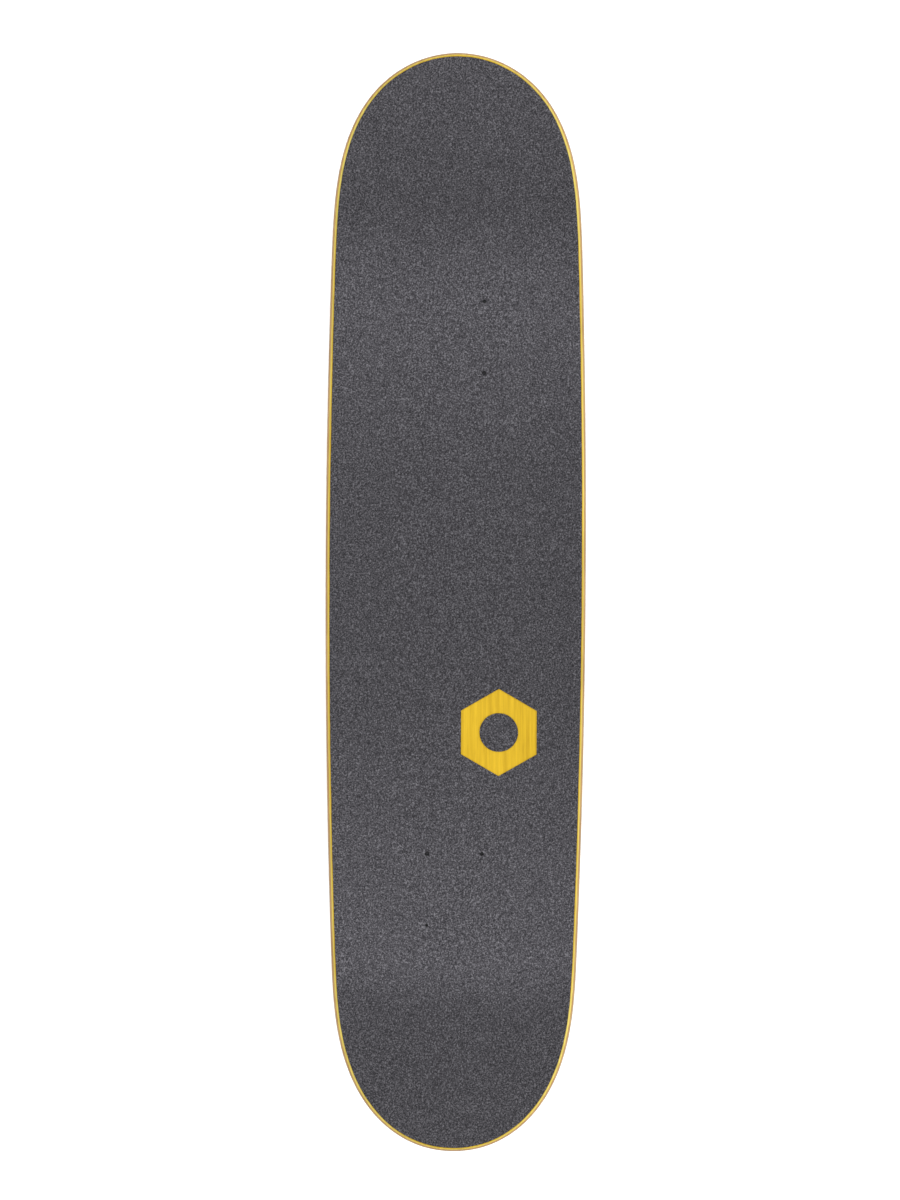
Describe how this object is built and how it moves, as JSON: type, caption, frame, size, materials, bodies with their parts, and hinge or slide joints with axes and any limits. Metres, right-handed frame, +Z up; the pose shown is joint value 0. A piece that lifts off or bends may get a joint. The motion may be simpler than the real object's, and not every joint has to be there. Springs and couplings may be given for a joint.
{
  "type": "skateboard",
  "caption": "Street skateboard: seven-ply deck with upturned nose and tail, grip tape, two kingpin trucks that steer by leaning, and small hard wheels on ball bearings.",
  "frame": {"origin": "on the ground under the middle of the deck, where the wheels stand", "axes": "+X towards the nose, +Y to the left of a rider who faces the nose, +Z up"},
  "size_m": [0.8128, 0.1958, 0.1408],
  "materials": {
    "grip": "coarse grit",
    "ply_yellow": "stained maple, satin",
    "ply_orange": "stained maple, satin",
    "ply_maple": "natural maple, satin",
    "black_steel": "black oxide",
    "steel": "zinc plated",
    "bearing_steel": "polished",
    "cast": "cast, lightly polished",
    "bushing": "satin urethane",
    "wheel": "satin urethane",
    "cage": "nylon"
  },
  "bodies": {
    "deck": {"grip_tape": "grip", "ply_1": "ply_yellow", "ply_2": "ply_orange", "ply_3": "ply_maple", "ply_4": "ply_maple", "ply_5": "ply_maple", "ply_6": "ply_maple", "ply_7": "ply_maple", "mounting_bolts": "black_steel", "mounting_nuts": "black_steel", "front_baseplate": "cast", "front_pivot_cup": "bushing", "front_kingpin": "steel", "front_kingpin_nut": "steel", "front_boardside_washer": "steel", "front_boardside_bushing": "bushing", "front_roadside_bushing": "bushing", "front_roadside_washer": "steel", "rear_baseplate": "cast", "rear_pivot_cup": "bushing", "rear_kingpin": "steel", "rear_kingpin_nut": "steel", "rear_boardside_washer": "steel", "rear_boardside_bushing": "bushing", "rear_roadside_bushing": "bushing", "rear_roadside_washer": "steel"},
    "front_truck_hanger": {"front_hanger": "cast", "front_axle": "steel", "front_axle_nuts": "steel", "front_speed_washers": "steel", "front_bearing_inner_rings": "bearing_steel", "front_bearing_spacers": "bearing_steel"},
    "front_left_wheel_body": {"front_left_wheel": "wheel", "front_left_bearing_outer_rings": "bearing_steel", "front_left_bearing_shields": "bearing_steel"},
    "front_left_ball_set": {"front_left_bearing_balls": "bearing_steel", "front_left_bearing_cages": "cage"},
    "front_right_wheel_body": {"front_right_wheel": "wheel", "front_right_bearing_outer_rings": "bearing_steel", "front_right_bearing_shields": "bearing_steel"},
    "front_right_ball_set": {"front_right_bearing_balls": "bearing_steel", "front_right_bearing_cages": "cage"},
    "rear_truck_hanger": {"rear_hanger": "cast", "rear_axle": "steel", "rear_axle_nuts": "steel", "rear_speed_washers": "steel", "rear_bearing_inner_rings": "bearing_steel", "rear_bearing_spacers": "bearing_steel"},
    "rear_left_wheel_body": {"rear_left_wheel": "wheel", "rear_left_bearing_outer_rings": "bearing_steel", "rear_left_bearing_shields": "bearing_steel"},
    "rear_left_ball_set": {"rear_left_bearing_balls": "bearing_steel", "rear_left_bearing_cages": "cage"},
    "rear_right_wheel_body": {"rear_right_wheel": "wheel", "rear_right_bearing_outer_rings": "bearing_steel", "rear_right_bearing_shields": "bearing_steel"},
    "rear_right_ball_set": {"rear_right_bearing_balls": "bearing_steel", "rear_right_bearing_cages": "cage"}
  },
  "joints": [
    {"name": "front_steer", "type": "hinge", "parent": "deck", "child": "front_truck_hanger", "pos_m": [0.18339, 0, 0.04668], "axis": [0.9026, 0, 0.4304], "range_deg": [-15, 15], "stiffness_Nm_per_rad": 60, "deforming": ["front_boardside_bushing", "front_roadside_bushing"]},
    {"name": "front_left_spin", "type": "hinge", "parent": "front_truck_hanger", "child": "front_left_wheel_body", "pos_m": [0.20206, 0.0749, 0.026], "axis": [0, 1, 0], "continuous": true},
    {"name": "front_left_cage_spin", "type": "hinge", "parent": "front_truck_hanger", "child": "front_left_ball_set", "pos_m": [0.20206, 0.0749, 0.026], "axis": [0, 1, 0], "continuous": true},
    {"name": "front_right_spin", "type": "hinge", "parent": "front_truck_hanger", "child": "front_right_wheel_body", "pos_m": [0.20206, -0.0749, 0.026], "axis": [0, 1, 0], "continuous": true},
    {"name": "front_right_cage_spin", "type": "hinge", "parent": "front_truck_hanger", "child": "front_right_ball_set", "pos_m": [0.20206, -0.0749, 0.026], "axis": [0, 1, 0], "continuous": true},
    {"name": "rear_steer", "type": "hinge", "parent": "deck", "child": "rear_truck_hanger", "pos_m": [-0.19919, 0, 0.04668], "axis": [0.9026, 0, -0.4304], "range_deg": [-15, 15], "stiffness_Nm_per_rad": 60, "deforming": ["rear_boardside_bushing", "rear_roadside_bushing"]},
    {"name": "rear_left_spin", "type": "hinge", "parent": "rear_truck_hanger", "child": "rear_left_wheel_body", "pos_m": [-0.21786, 0.0749, 0.026], "axis": [0, 1, 0], "continuous": true},
    {"name": "rear_left_cage_spin", "type": "hinge", "parent": "rear_truck_hanger", "child": "rear_left_ball_set", "pos_m": [-0.21786, 0.0749, 0.026], "axis": [0, 1, 0], "continuous": true},
    {"name": "rear_right_spin", "type": "hinge", "parent": "rear_truck_hanger", "child": "rear_right_wheel_body", "pos_m": [-0.21786, -0.0749, 0.026], "axis": [0, 1, 0], "continuous": true},
    {"name": "rear_right_cage_spin", "type": "hinge", "parent": "rear_truck_hanger", "child": "rear_right_ball_set", "pos_m": [-0.21786, -0.0749, 0.026], "axis": [0, 1, 0], "continuous": true}
  ],
  "couplings": [
    {"joint": "front_left_cage_spin", "follows": "front_left_spin", "ratio": 0.6323},
    {"joint": "front_right_cage_spin", "follows": "front_right_spin", "ratio": 0.6323},
    {"joint": "rear_left_cage_spin", "follows": "rear_left_spin", "ratio": 0.6323},
    {"joint": "rear_right_cage_spin", "follows": "rear_right_spin", "ratio": 0.6323}
  ]
}
